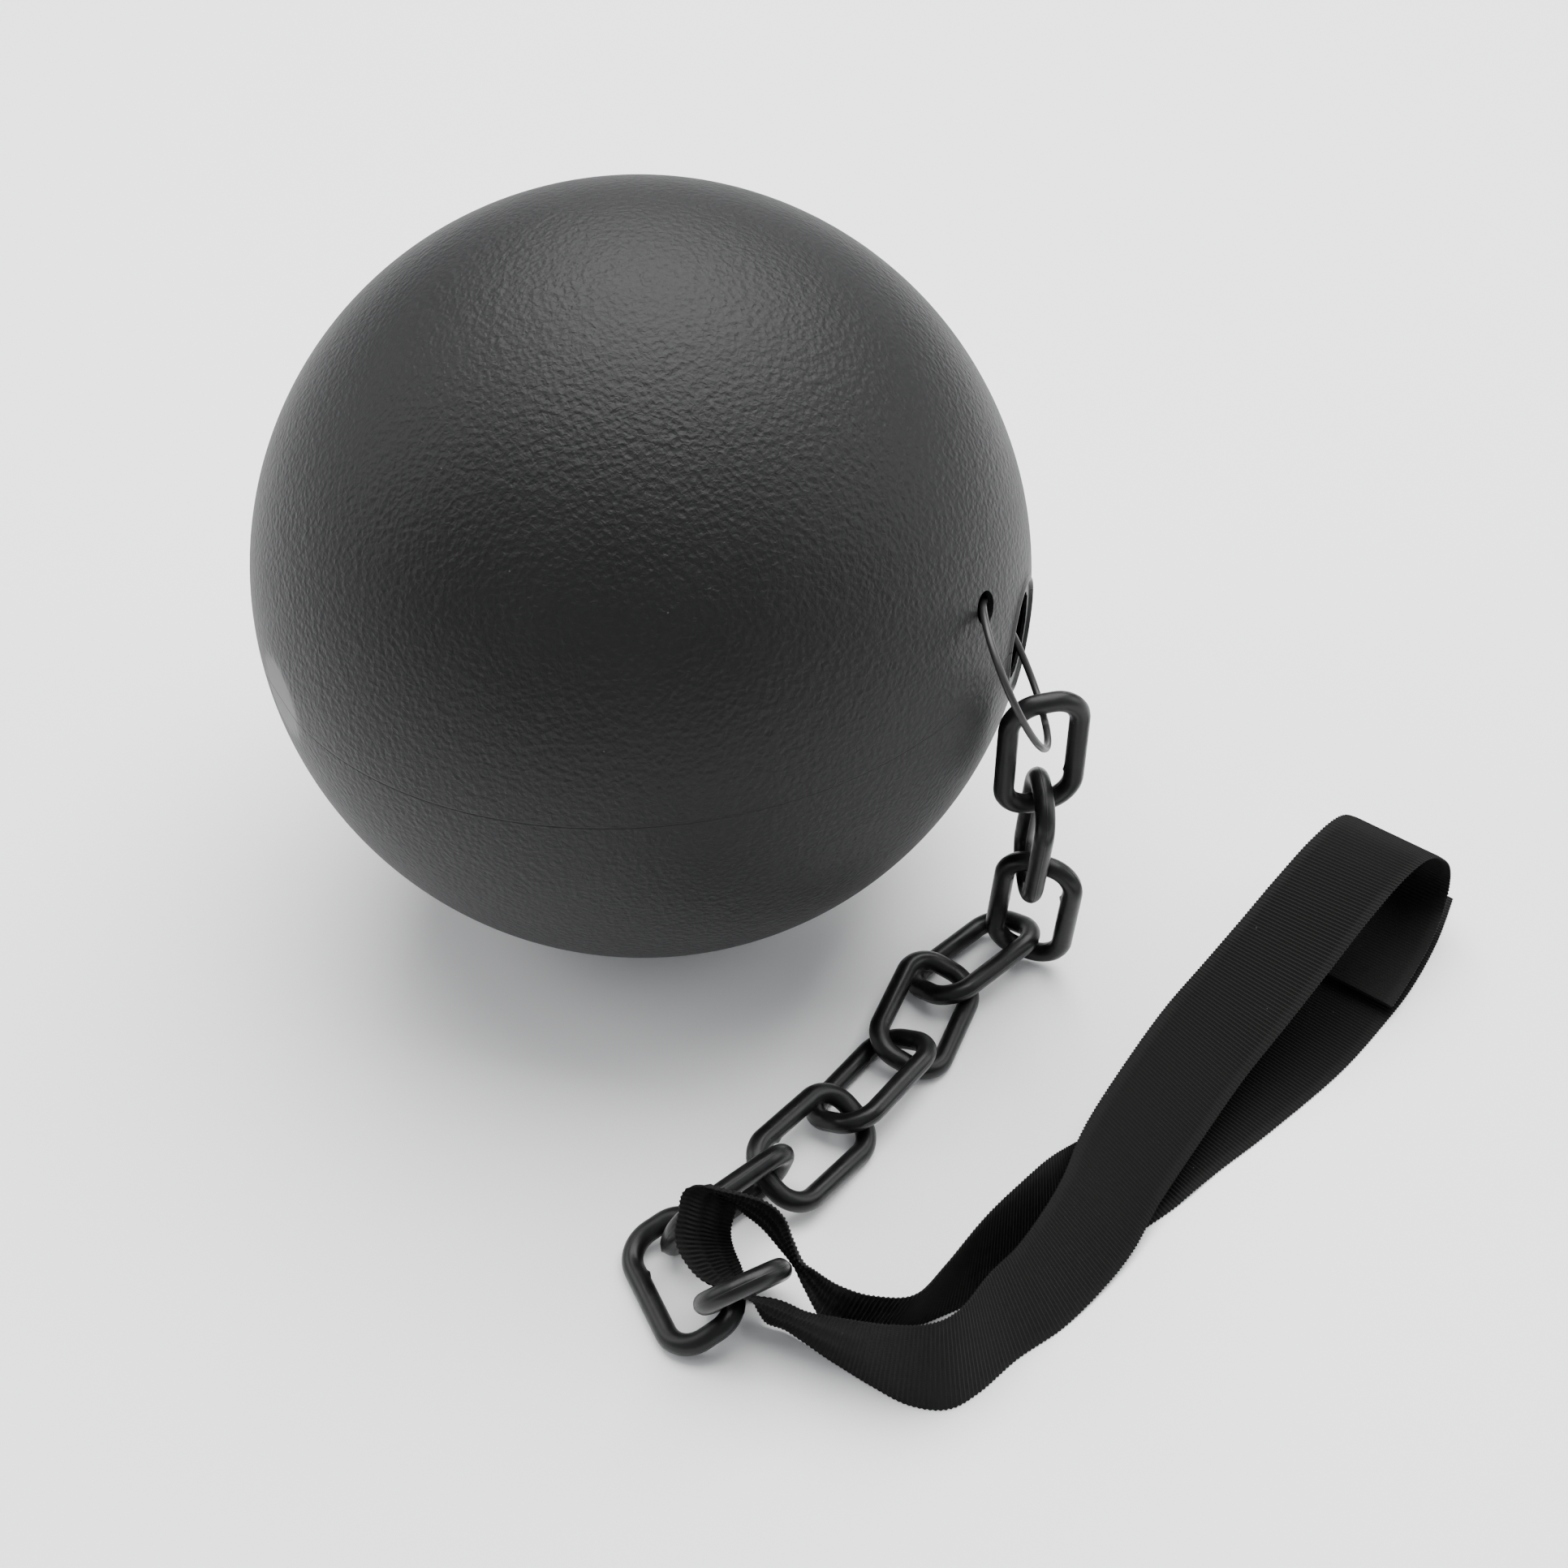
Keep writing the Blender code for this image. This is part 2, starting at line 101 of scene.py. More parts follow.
# Outward directions. The neck's and the hole's are copied from what the CAD works out for them.
NECK_WAY = Vector((0.96455, -0.26388, -0.00212)).normalized()
HOLE_WAY = Vector((0.84327, -0.47496, 0.25160)).normalized()
SCAR_WAY = Vector((-0.874, -0.485, -0.017)).normalized()
SEAM_NORMAL = Vector((-0.042, 0.025, 0.999)).normalized()
NECK_FACE_RADIUS = 11 * MM
NECK_FACE_DISTANCE = math.sqrt(BALL_RADIUS**2 - NECK_FACE_RADIUS**2)
NECK_OPENING_RADIUS = 8.2 * MM
NECK_LIP_HEIGHT = 0.5 * MM
RING_HOLE_RADIUS = 3.1 * MM
BALL_STEPS = 240


def knife_cut(angle):
    """How far the hand-cut edge of the neck wanders from a true circle."""
    wander = noise.noise(Vector((2.1 * math.cos(angle), 2.1 * math.sin(angle), 3.7)))
    nick = noise.noise(Vector((7 * math.cos(angle), 7 * math.sin(angle), 9.2)))
    return (0.45 * wander + 0.3 * nick) * MM


def ball_profile(cut):
    """Radius and height along the neck's axis, from the cut edge outwards, round the ball and back inside."""
    face = NECK_FACE_DISTANCE - 0.2 * MM
    opening = NECK_OPENING_RADIUS + cut
    rim = [
        (opening, face),
        (opening + 0.25 * MM, face + 0.05 * MM),
        (9.0 * MM, face),
        (10.1 * MM, face),
        (10.35 * MM, face + 0.05 * MM),
        (10.5 * MM, face + 0.4 * MM),
        (10.7 * MM, NECK_FACE_DISTANCE + NECK_LIP_HEIGHT),
        (11.0 * MM, NECK_FACE_DISTANCE + NECK_LIP_HEIGHT - 0.04 * MM),
        (11.25 * MM, NECK_FACE_DISTANCE + 0.25 * MM),
        (11.5 * MM, NECK_FACE_DISTANCE + 0.02 * MM),
    ]
    start = math.asin(11.9 * MM / BALL_RADIUS)
    inner_radius = BALL_RADIUS - BALL_WALL
    inner_start = math.asin((opening + 0.2 * MM) / inner_radius)
    outer = np.linspace(start, math.pi, 130)[:-1]
    inner = np.linspace(math.pi, inner_start, 50)[1:]
    outside = [(BALL_RADIUS * math.sin(a), BALL_RADIUS * math.cos(a)) for a in outer]
    inside = [(inner_radius * math.sin(a), inner_radius * math.cos(a)) for a in inner]
    return rim + outside, inside


def skin_between(one, two, wrap=False):
    """Quads between two rows of vertex numbers."""
    pairs = list(zip(one, one[1:], two[1:], two))
    if wrap:
        pairs.append((one[-1], one[0], two[0], two[-1]))
    return pairs


def make_ball():
    turn = NECK_WAY.to_track_quat("Z", "Y").to_matrix()
    points = []
    columns = []
    for step in range(BALL_STEPS):
        angle = 2 * math.pi * step / BALL_STEPS
        outside, inside = ball_profile(knife_cut(angle))
        column = []
        for radius, height in outside + inside:
            column.append(len(points))
            points.append(Vector((radius * math.cos(angle), radius * math.sin(angle), height)))
        columns.append(column)
    outer_count = len(outside)
    outer_pole = len(points)
    points.append(Vector((0, 0, -BALL_RADIUS)))
    inner_pole = len(points)
    points.append(Vector((0, 0, -(BALL_RADIUS - BALL_WALL))))
    faces = []
    for column, following in zip(columns, columns[1:] + columns[:1]):
        faces += skin_between(column[:outer_count], following[:outer_count])
        faces.append((column[outer_count - 1], outer_pole, following[outer_count - 1]))
        faces += skin_between(column[outer_count:], following[outer_count:])
        faces.append((following[outer_count], inner_pole, column[outer_count]))
        faces.append((column[-1], column[0], following[0], following[-1]))
    placed = []
    for point in points:
        point = turn @ point
        over_scar = point.dot(SCAR_WAY) - (BALL_RADIUS - 0.4 * MM)
        if over_scar > 0:
            point = point - SCAR_WAY * over_scar * 0.8
        point = point + BALL_MIDDLE
        placed.append((point.x, point.y, max(point.z, 0)))
    mesh = bpy.data.meshes.new("blow_moulded_shell")
    mesh.from_pydata(placed, [], [face[::-1] for face in faces])
    shell = bpy.data.objects.new("blow_moulded_shell", mesh)
    bpy.context.scene.collection.objects.link(shell)
    return shell


def drill(shell, place, way, radius, depth):
    """Cuts a round hole with a drill-shaped cutter, then throws the cutter away."""
    sides = 64
    turn = way.to_track_quat("Z", "Y").to_matrix()
    rows = []
    for height in (-depth / 2, depth / 2):
        turns = [2 * math.pi * k / sides for k in range(sides)]
        rows += [place + turn @ Vector((radius * math.cos(t), radius * math.sin(t), height)) for t in turns]
    low = list(range(sides))
    high = list(range(sides, 2 * sides))
    faces = [low[::-1], high] + skin_between(low, high, wrap=True)
    bit = bpy.data.meshes.new("drill_bit")
    bit.from_pydata([tuple(p) for p in rows], [], faces)
    cutter = bpy.data.objects.new("drill_bit", bit)
    bpy.context.scene.collection.objects.link(cutter)
    cut = shell.modifiers.new("drilled", "BOOLEAN")
    cut.object = cutter
    cut.operation = "DIFFERENCE"
    cut.solver = "EXACT"
    bpy.context.view_layer.update()
    drilled = bpy.data.meshes.new_from_object(shell.evaluated_get(bpy.context.evaluated_depsgraph_get()))
    shell.modifiers.remove(cut)
    shell.data = drilled
    bpy.data.objects.remove(cutter)


def finish_surface(piece, sharp_degrees, material):
    piece.data.shade_smooth()
    piece.data.set_sharp_from_angle(angle=math.radians(sharp_degrees))
    piece.data.materials.clear()
    piece.data.materials.append(material)


def node(tree, kind, inputs=None, **settings):
    """Adds a shader node with its settings, and sets or links its inputs by name or number."""
    made = tree.nodes.new(kind)
    made.location = (220 * (len(tree.nodes) % 8), -260 * (len(tree.nodes) // 8))
    for key, value in settings.items():
        setattr(made, key, value)
    for key, value in (inputs or {}).items():
        if isinstance(value, bpy.types.NodeSocket):
            tree.links.new(value, made.inputs[key])
        else:
            made.inputs[key].default_value = value
    return made


def calc(tree, operation, *values):
    inputs = dict(enumerate(values))
    return node(tree, "ShaderNodeMath", inputs, operation=operation).outputs[0]


def new_effect(name, inputs, outputs):
    """An empty shader node group, with its inner input and output sockets."""
    group = bpy.data.node_groups.new(name, "ShaderNodeTree")
    for label, kind, start in inputs:
        group.interface.new_socket(label, in_out="INPUT", socket_type=kind).default_value = start
    for label, kind in outputs:
        group.interface.new_socket(label, in_out="OUTPUT", socket_type=kind)
    entry = group.nodes.new("NodeGroupInput")
    way_out = group.nodes.new("NodeGroupOutput")
    way_out.location = (1900, 0)
    return group, entry.outputs, way_out.inputs


def use_effect(tree, group, inputs):
    return node(tree, "ShaderNodeGroup", inputs, node_tree=group).outputs


def new_finish(name):
    """A material with its node tree, its Principled shader and the piece's own coordinates."""
    material = bpy.data.materials.new(name)
    material.use_nodes = True
    tree = material.node_tree
    place = node(tree, "ShaderNodeTexCoord").outputs["Object"]
    return material, tree, tree.nodes["Principled BSDF"], place


# Shared effect: a thin line where two halves of a mould met. The mask is 1 on the line.
parting_line, given, made_out = new_effect(
    "Parting line",
    [
        ("Point", "NodeSocketVector", (0, 0, 0)),
        ("Passes through", "NodeSocketVector", (0, 0, 0)),
        ("Plane normal", "NodeSocketVector", (0, 0, 1)),
        ("Half width", "NodeSocketFloat", 0.0002),
    ],
    [("Line", "NodeSocketFloat"), ("Side", "NodeSocketFloat")],
)
tree = parting_line
offset = node(
    tree, "ShaderNodeVectorMath", {0: given["Point"], 1: given["Passes through"]}, operation="SUBTRACT"
).outputs[0]
across_plane = node(
    tree, "ShaderNodeVectorMath", {0: offset, 1: given["Plane normal"]}, operation="DOT_PRODUCT"
).outputs["Value"]
in_widths = calc(tree, "DIVIDE", calc(tree, "ABSOLUTE", across_plane), given["Half width"])
on_line = node(
    tree,
    "ShaderNodeMapRange",
    {"Value": in_widths, "From Min": 0.25, "From Max": 1.0, "To Min": 1.0, "To Max": 0.0},
    interpolation_type="SMOOTHSTEP",
).outputs["Result"]
tree.links.new(on_line, made_out["Line"])
tree.links.new(calc(tree, "GREATER_THAN", across_plane, 0.0), made_out["Side"])

PALE_DUST = (0.2, 0.2, 0.2, 1)

# Shared effect: specks of pale dust and faint rubbed patches that black pieces pick up in handling.
handling, given, made_out = new_effect(
    "Handling marks",
    [
        ("Point", "NodeSocketVector", (0, 0, 0)),
        ("Specks per metre", "NodeSocketFloat", 300.0),
        ("Speck size", "NodeSocketFloat", 0.08),
        ("Rubs per metre", "NodeSocketFloat", 40.0),
    ],
    [("Dust", "NodeSocketFloat"), ("Rub", "NodeSocketFloat")],
)
tree = handling
specks = node(
    tree, "ShaderNodeTexVoronoi", {"Vector": given["Point"], "Scale": given["Specks per metre"]}
).outputs["Distance"]
near_speck = calc(tree, "LESS_THAN", specks, given["Speck size"])
sparse = node(
    tree, "ShaderNodeTexNoise", {"Vector": given["Point"], "Scale": given["Specks per metre"], "Detail": 1.0}
).outputs["Fac"]
kept = calc(tree, "GREATER_THAN", sparse, 0.62)
tree.links.new(calc(tree, "MULTIPLY", near_speck, kept), made_out["Dust"])
rubs = node(
    tree,
    "ShaderNodeTexNoise",
    {"Vector": given["Point"], "Scale": given["Rubs per metre"], "Detail": 4.0, "Roughness": 0.6},
).outputs["Fac"]
rub = node(tree, "ShaderNodeMapRange", {"Value": rubs, "From Min": 0.35, "From Max": 0.7}).outputs["Result"]
tree.links.new(rub, made_out["Rub"])

shell = make_ball()
drill(shell, BALL_MIDDLE + HOLE_WAY * BALL_RADIUS, HOLE_WAY, RING_HOLE_RADIUS, 12 * MM)

# How smooth the skin is: 1 on the neck's face and the scar, which the mould's pebbling doesn't reach.
spots = np.array([v.co for v in shell.data.vertices]) - np.array(BALL_MIDDLE)
lengths = np.linalg.norm(spots, axis=1)
beside_neck = np.linalg.norm(spots - np.outer(spots @ np.array(NECK_WAY), NECK_WAY), axis=1)
on_neck = (beside_neck < 11.3 * MM) & (spots @ np.array(NECK_WAY) > 0)
beside_scar = np.linalg.norm(spots - np.outer(spots @ np.array(SCAR_WAY), SCAR_WAY), axis=1)
on_scar = np.clip((9 * MM - beside_scar) / (2 * MM), 0, 1) * (spots @ np.array(SCAR_WAY) > 0)
inside = lengths < BALL_RADIUS - 1.0 * MM
smoothness = np.maximum(np.maximum(on_neck.astype(float), on_scar), inside.astype(float))
skin_values = shell.data.attributes.new("smooth_skin", "FLOAT", "POINT")
skin_values.data.foreach_set("value", smoothness.astype(np.float32))

shell_plastic, tree, shader, place = new_finish("pebbled_black_polyethylene")
smooth_skin = node(tree, "ShaderNodeAttribute", attribute_name="smooth_skin").outputs["Fac"]
pebbled_skin = calc(tree, "SUBTRACT", 1.0, smooth_skin)
line = use_effect(
    tree,
    parting_line,
    {"Point": place, "Passes through": BALL_MIDDLE, "Plane normal": SEAM_NORMAL, "Half width": 0.24 * MM},
)
marks = use_effect(
    tree, handling, {"Point": place, "Specks per metre": 260.0, "Speck size": 0.04, "Rubs per metre": 28.0}
)
crinkle = node(
    tree,
    "ShaderNodeTexNoise",
    {"Vector": place, "Scale": 1000.0, "Detail": 2.0, "Roughness": 0.55, "Distortion": 0.5},
).outputs["Fac"]
pebbles = node(
    tree,
    "ShaderNodeTexVoronoi",
    {"Vector": place, "Scale": 860.0, "Smoothness": 0.5, "Randomness": 1.0},
    feature="SMOOTH_F1",
).outputs["Distance"]
grain = calc(tree, "ADD", calc(tree, "MULTIPLY", crinkle, 0.75), calc(tree, "MULTIPLY", pebbles, 0.55))
skin_height = calc(tree, "MULTIPLY", grain, pebbled_skin)
slow_waves = node(tree, "ShaderNodeTexNoise", {"Vector": place, "Scale": 22.0, "Detail": 1.0}).outputs["Fac"]
skin_height = calc(tree, "ADD", skin_height, calc(tree, "MULTIPLY", slow_waves, 0.9))
skin_height = calc(tree, "SUBTRACT", skin_height, calc(tree, "MULTIPLY", line["Line"], 1.4))
skin_height = calc(tree, "ADD", skin_height, calc(tree, "MULTIPLY", line["Side"], 0.5))
bump = node(tree, "ShaderNodeBump", {"Height": skin_height, "Strength": 1.0, "Distance": 0.3 * MM})
tree.links.new(bump.outputs["Normal"], shader.inputs["Normal"])
colour = node(
    tree,
    "ShaderNodeMix",
    {"Factor": marks["Rub"], "A": (0.0042, 0.0042, 0.0044, 1), "B": (0.0068, 0.0068, 0.007, 1)},
    data_type="RGBA",
)
# The smooth skin, on the neck's face, the scar and the inside, is coloured about three times lighter than the
# pebbled skin.
colour = node(
    tree,
    "ShaderNodeMix",
    {"Factor": smooth_skin, "A": colour.outputs["Result"], "B": (0.014, 0.014, 0.0145, 1)},
    data_type="RGBA",
)
dusty = node(
    tree,
    "ShaderNodeMix",
    {
        "Factor": calc(tree, "MULTIPLY", marks["Dust"], 0.22),
        "A": colour.outputs["Result"],
        "B": PALE_DUST,
    },
    data_type="RGBA",
)
tree.links.new(dusty.outputs["Result"], shader.inputs["Base Color"])
roughness = calc(tree, "ADD", 0.5, calc(tree, "MULTIPLY", marks["Rub"], 0.06))
roughness = calc(tree, "SUBTRACT", roughness, calc(tree, "MULTIPLY", smooth_skin, 0.1))
tree.links.new(roughness, shader.inputs["Roughness"])
shader.inputs["Specular IOR Level"].default_value = 0.23
finish_surface(shell, 35, shell_plastic)
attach(shell, "ball")
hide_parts("ball_shell")

# The ring. A length of black coated steel wire wound a little over one turn, sprung open and threaded
# through the drilled hole, the ball and the neck. Its cut ends lie side by side inside the neck, and the
# coating is rubbed off where the first link hangs.
WIRE_RADIUS = 0.7 * MM
RING_RADIUS = 14.8 * MM
RING_TURN = 380
# It turns about the straight line through its two holes, and the first link hangs on it in its own plane.
ring_pivot = Vector(frame["joints"][0]["pos_m"])
rubbed_place = Vector(frame["joints"][1]["pos_m"])
ring_axis = Vector(frame["joints"][0]["axis"]).normalized()
to_link = rubbed_place - ring_pivot
ring_hang = (to_link - ring_axis * to_link.dot(ring_axis)).normalized()
ring_reach = max((v.co - ring_pivot).dot(ring_hang) for v in frame["nodes"]["wire_ring"].data.vertices)
ring_middle = ring_pivot + ring_hang * (ring_reach - RING_RADIUS - WIRE_RADIUS)


def tube(name, middles, outs, sides, profile, closed):
    """Skins a tube round a row of points. The profile gives its radius for each point and side angle."""
    points = []
    faces = []
    count = len(middles)
    for i in range(count):
        following = (i + 1) % count if closed else min(i + 1, count - 1)
        before = i - 1 if closed else max(i - 1, 0)
        along = middles[following] - middles[before]
        across = along.normalized().cross(outs[i])
        for k in range(sides):
            angle = 2 * math.pi * k / sides
            way = outs[i] * math.cos(angle) + across * math.sin(angle)
            points.append(middles[i] + way * profile(i, angle))
    rows = [list(range(i * sides, (i + 1) * sides)) for i in range(count)]
    for one, two in zip(rows, rows[1:]):
        faces += skin_between(one, two, wrap=True)
    if closed:
        faces += skin_between(rows[-1], rows[0], wrap=True)
    else:
        faces += [rows[0][::-1], rows[-1]]
    mesh = bpy.data.meshes.new(name)
    mesh.from_pydata([tuple(p) for p in points], [], faces)
    made = bpy.data.objects.new(name, mesh)
    bpy.context.scene.collection.objects.link(made)
    return made


ring_normal = ring_hang.cross(ring_axis)
ring_overlap = (RING_TURN - 360) / RING_TURN
wire_middles = []
wire_outs = []
for i in range(301):
    share = i / 300
    angle = math.radians(RING_TURN * (share - 0.5))
    out = ring_hang * math.cos(angle) + ring_axis * math.sin(angle)
    ramp = min(share / (2 * ring_overlap), 1) + max((share - 1) / (2 * ring_overlap) + 1, 0) - 1
    wire_middles.append(ring_middle + out * RING_RADIUS + ring_normal * (WIRE_RADIUS + 0.15 * MM) * ramp)
    wire_outs.append(out)
ring = tube("steel_wire_ring", wire_middles, wire_outs, 16, lambda i, angle: WIRE_RADIUS, closed=False)

coated_wire, tree, shader, place = new_finish("black_coated_wire")
marks = use_effect(
    tree, handling, {"Point": place, "Specks per metre": 900.0, "Speck size": 0.1, "Rubs per metre": 420.0}
)
from_hook = node(
    tree, "ShaderNodeVectorMath", {0: place, 1: rubbed_place}, operation="DISTANCE"
).outputs["Value"]
worn = node(
    tree, "ShaderNodeMapRange", {"Value": from_hook, "From Min": 3.6 * MM, "From Max": 1.4 * MM}
).outputs["Result"]
worn = calc(tree, "MULTIPLY", worn, calc(tree, "POWER", marks["Rub"], 0.6))
colour = node(
    tree,
    "ShaderNodeMix",
    {"Factor": worn, "A": (0.035, 0.034, 0.034, 1), "B": (0.5, 0.49, 0.47, 1)},
    data_type="RGBA",
)
tree.links.new(colour.outputs["Result"], shader.inputs["Base Color"])
wire_roughness = calc(tree, "ADD", 0.34, calc(tree, "MULTIPLY", marks["Rub"], 0.12))
tree.links.new(wire_roughness, shader.inputs["Roughness"])
tree.links.new(calc(tree, "ADD", 0.55, calc(tree, "MULTIPLY", worn, 0.45)), shader.inputs["Metallic"])
drawn = node(
    tree, "ShaderNodeTexNoise", {"Vector": place, "Scale": 1500.0, "Detail": 2.0}
).outputs["Fac"]
bump = node(tree, "ShaderNodeBump", {"Height": drawn, "Strength": 0.6, "Distance": 0.01 * MM})
tree.links.new(bump.outputs["Normal"], shader.inputs["Normal"])
finish_surface(ring, 40, coated_wire)
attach(ring, "ring")
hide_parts("wire_ring")

# The chain. Ten oblong links of black polypropylene, moulded already linked: each has a faint parting
# line round its stock and small torn nibs where it was broken off the runner.
LINK_STOCK_RADIUS = 2 * MM
LINK_HALF_LENGTH = 13 * MM
LINK_HALF_WIDTH = 7 * MM
LINK_CORNER_RADIUS = 5.6 * MM
LINK_SIDES = 20


def link_line(corner_steps, straight_steps):
    """Points of the stock's centre line with outward directions, anticlockwise round the link."""
    half_x = LINK_HALF_LENGTH - LINK_CORNER_RADIUS
    half_y = LINK_HALF_WIDTH - LINK_CORNER_RADIUS
    middles = []
    outs = []
    corners = ((1, 1), (-1, 1), (-1, -1), (1, -1))
    for quarter, (sign_x, sign_y) in enumerate(corners):
        centre = Vector((sign_x * half_x, sign_y * half_y, 0))
        next_x, next_y = corners[(quarter + 1) % 4]
        following = Vector((next_x * half_x, next_y * half_y, 0))
        for i in range(corner_steps + 1):
            angle = math.pi / 2 * (quarter + i / corner_steps)
            out = Vector((math.cos(angle), math.sin(angle), 0))
            middles.append(centre + out * LINK_CORNER_RADIUS)
            outs.append(out)
        for i in range(1, straight_steps):
            middles.append(centre.lerp(following, i / straight_steps) + out * LINK_CORNER_RADIUS)
            outs.append(out)
    return middles, outs


def link_with_nibs(name, nibs):
    """A nib is a place along the stock from 0 to 1, a side angle in degrees and a height in millimetres."""
    middles, outs = link_line(14, 22)
    count = len(middles)

    def stock_radius(i, angle):
        radius = LINK_STOCK_RADIUS
        flash = max(abs(math.cos(angle)) - 0.985, 0) / 0.015
        radius += 0.05 * MM * flash
        for at, side, height in nibs:
            gap = abs(i / count - at)
            gap = min(gap, 1 - gap) * count
            turn = abs((math.degrees(angle) - side + 180) % 360 - 180)
            radius += height * MM * max(1 - gap / 1.4, 0) * max(1 - turn / 20, 0)
        return radius * (0.988 + 0.012 * abs(math.cos(angle)))

    return tube(name, middles, outs, LINK_SIDES, stock_radius, closed=True)


nib_sets = [
    [(0.12, 180, 0.42), (0.52, 0, 0.3)],
    [(0.31, 180, 0.35), (0.83, 0, 0.38)],
    [(0.62, 180, 0.45), (0.05, 0, 0.32)],
]
link_shapes = [link_with_nibs(f"link_shape_{i}", nibs) for i, nibs in enumerate(nib_sets)]

link_plastic, tree, shader, place = new_finish("glossy_black_polypropylene")
marks = use_effect(
    tree, handling, {"Point": place, "Specks per metre": 700.0, "Speck size": 0.07, "Rubs per metre": 160.0}
)
line = use_effect(
    tree,
    parting_line,
    {"Point": place, "Passes through": (0, 0, 0), "Plane normal": (0, 0, 1), "Half width": 0.14 * MM},
)
flow = node(
    tree,
    "ShaderNodeTexNoise",
    {"Vector": place, "Scale": 230.0, "Detail": 3.0, "Roughness": 0.55, "Distortion": 0.8},
).outputs["Fac"]
fine = node(tree, "ShaderNodeTexNoise", {"Vector": place, "Scale": 2600.0, "Detail": 1.0}).outputs["Fac"]
height = calc(tree, "ADD", flow, calc(tree, "MULTIPLY", fine, 0.12))
height = calc(tree, "ADD", height, calc(tree, "MULTIPLY", line["Line"], 0.6))
bump = node(tree, "ShaderNodeBump", {"Height": height, "Strength": 0.7, "Distance": 0.09 * MM})
tree.links.new(bump.outputs["Normal"], shader.inputs["Normal"])
colour = node(
    tree,
    "ShaderNodeMix",
    {"Factor": marks["Rub"], "A": (0.0036, 0.0036, 0.0038, 1), "B": (0.007, 0.007, 0.0072, 1)},
    data_type="RGBA",
)
dusty = node(
    tree,
    "ShaderNodeMix",
    {
        "Factor": calc(tree, "MULTIPLY", marks["Dust"], 0.4),
        "A": colour.outputs["Result"],
        "B": PALE_DUST,
    },
    data_type="RGBA",
)
tree.links.new(dusty.outputs["Result"], shader.inputs["Base Color"])
link_roughness = calc(tree, "ADD", 0.3, calc(tree, "MULTIPLY", marks["Rub"], 0.13))
tree.links.new(link_roughness, shader.inputs["Roughness"])
shader.inputs["Specular IOR Level"].default_value = 0.25
for shape in link_shapes:
    finish_surface(shape, 60, link_plastic)

link_names = [f"chain_link_{number:02d}" for number in range(1, 11)]
link_centres = [(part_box(name)[0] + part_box(name)[1]) / 2 for name in link_names]
for index, name in enumerate(link_names):
    spots = np.array([v.co for v in frame["nodes"][name].data.vertices])
    spread = np.linalg.svd(spots - spots.mean(axis=0), full_matrices=False)[2]
    length_way = Vector(spread[0])
    width_way = Vector(spread[1])
    onward = link_centres[min(index + 1, 9)] - link_centres[max(index - 1, 0)]
    if length_way.dot(onward) < 0:
        length_way = -length_way
    if width_way.z < 0:
        width_way = -width_way
    turn = Matrix((length_way, width_way, length_way.cross(width_way))).transposed()
    link = bpy.data.objects.new(f"moulded_link_{index + 1:02d}", link_shapes[index % 3].data)
    bpy.context.scene.collection.objects.link(link)
    link.matrix_world = Matrix.Translation(link_centres[index]) @ turn.to_4x4()
    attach(link, f"link_{index + 1:02d}")
    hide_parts(name)
for shape in link_shapes:
    bpy.data.objects.remove(shape)

# The ankle strap. One length of black 20 mm grosgrain ribbon, with thick ribs across it and fine threads
# along it. It is threaded through the last link, where it bunches, and its two ends meet in the closure.
RIBBON_WIDTH = 20 * MM
RIBBON_THICKNESS = 0.42 * MM
RIB_PITCH = 0.8 * MM
RIB_HEIGHT = 0.26 * MM
RIB_SCALLOP = 0.1 * MM       # how far a rib stands out at the ribbon's edge
SAMPLES_PER_RIB = 4
FOLD_DEPTH = 0.8 * MM        # of the waves across it, for each full share that it is gathered by
FLOOR_GAP = 0.02 * MM

